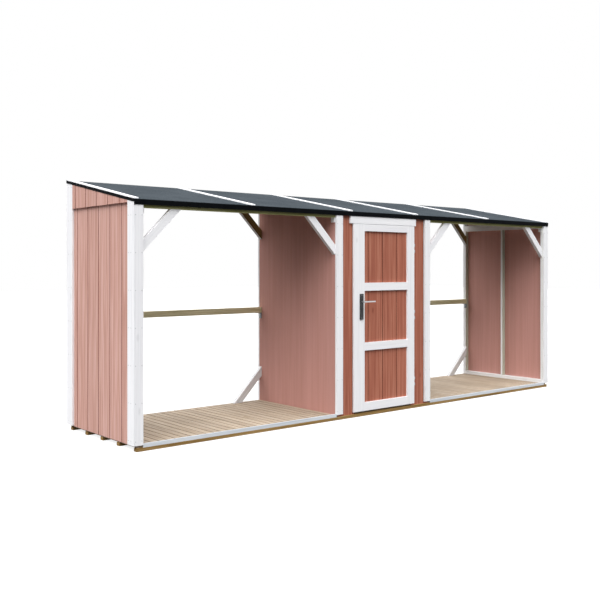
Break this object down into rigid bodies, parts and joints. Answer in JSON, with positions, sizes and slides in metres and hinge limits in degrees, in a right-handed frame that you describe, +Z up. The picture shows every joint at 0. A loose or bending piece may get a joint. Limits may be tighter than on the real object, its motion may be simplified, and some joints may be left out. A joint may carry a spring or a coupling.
{
  "type": "log store",
  "caption": "Long lean-to log store: two open-fronted log bays either side of a closed, boarded storeroom with a hinged door and a felt roof.",
  "frame": {"origin": "on the ground under the middle of the roof's plan", "axes": "+X along the front to the right as seen from the front, +Y from the front to the back, +Z up"},
  "size_m": [5.498, 1.263, 2.1859],
  "materials": {
    "bearer_timber": "pressure-treated softwood",
    "floor_timber": "planed softwood",
    "white_painted_timber": "satin paint",
    "red_painted_boards": "brown-red stain on softwood",
    "frame_timber": "treated softwood",
    "zinc_steel": "zinc plated",
    "roof_deck_timber": "sheathing board",
    "roof_felt": "mineral-faced roofing felt",
    "roof_batten_paint": "satin paint",
    "black_metal": "black coated",
    "black_lock_metal": "black powder coat",
    "lever_steel": "satin"
  },
  "bodies": {
    "shed": {"beam_blocks": "frame_timber", "door_frame_head": "frame_timber", "door_head_board": "white_painted_timber", "door_jambs": "frame_timber", "floor_bearers": "bearer_timber", "floor_left_bay": "floor_timber", "floor_right_bay": "floor_timber", "floor_storeroom": "floor_timber", "front_beams": "frame_timber", "front_braces": "white_painted_timber", "front_post_boards": "white_painted_timber", "gable_boarding_left": "red_painted_boards", "gable_boarding_right": "red_painted_boards", "gable_corner_boards": "white_painted_timber", "gable_triangle_left": "red_painted_boards", "gable_triangle_right": "red_painted_boards", "hinge_frame_sides": "zinc_steel", "partition_boarding_left": "red_painted_boards", "partition_boarding_right": "red_painted_boards", "rail_brackets": "zinc_steel", "rear_beams": "frame_timber", "rear_braces": "frame_timber", "rear_post_boards": "white_painted_timber", "rear_rails": "frame_timber", "roof_battens": "roof_batten_paint", "roof_deck": "roof_deck_timber", "roof_fascia": "black_metal", "roof_felt": "roof_felt", "roof_rear_strip": "black_metal", "roof_side_strips": "black_metal", "sill_boards": "white_painted_timber", "store_back": "red_painted_boards", "store_front_left": "red_painted_boards", "store_front_over_door": "red_painted_boards", "store_front_right": "red_painted_boards", "wall_plates": "frame_timber", "wall_studs": "frame_timber"},
    "door": {"door_panel": "red_painted_boards", "door_lock_stile": "white_painted_timber", "door_cover_strip": "white_painted_timber", "door_hinge_stile": "white_painted_timber", "door_rails": "white_painted_timber", "hinge_leaf_sides": "zinc_steel", "lock_plates": "black_lock_metal"},
    "handle": {"lever_handle": "lever_steel"}
  },
  "joints": [
    {"name": "door_hinge", "type": "hinge", "parent": "shed", "child": "door", "pos_m": [0.4135, -0.588, 0.938], "axis": [0, 0, 1], "range_deg": [0, 105]},
    {"name": "lever_turn", "type": "hinge", "parent": "door", "child": "handle", "pos_m": [-0.334, -0.62, 1.09], "axis": [0, 1, 0], "range_deg": [0, 40], "stiffness_Nm_per_rad": 1}
  ]
}
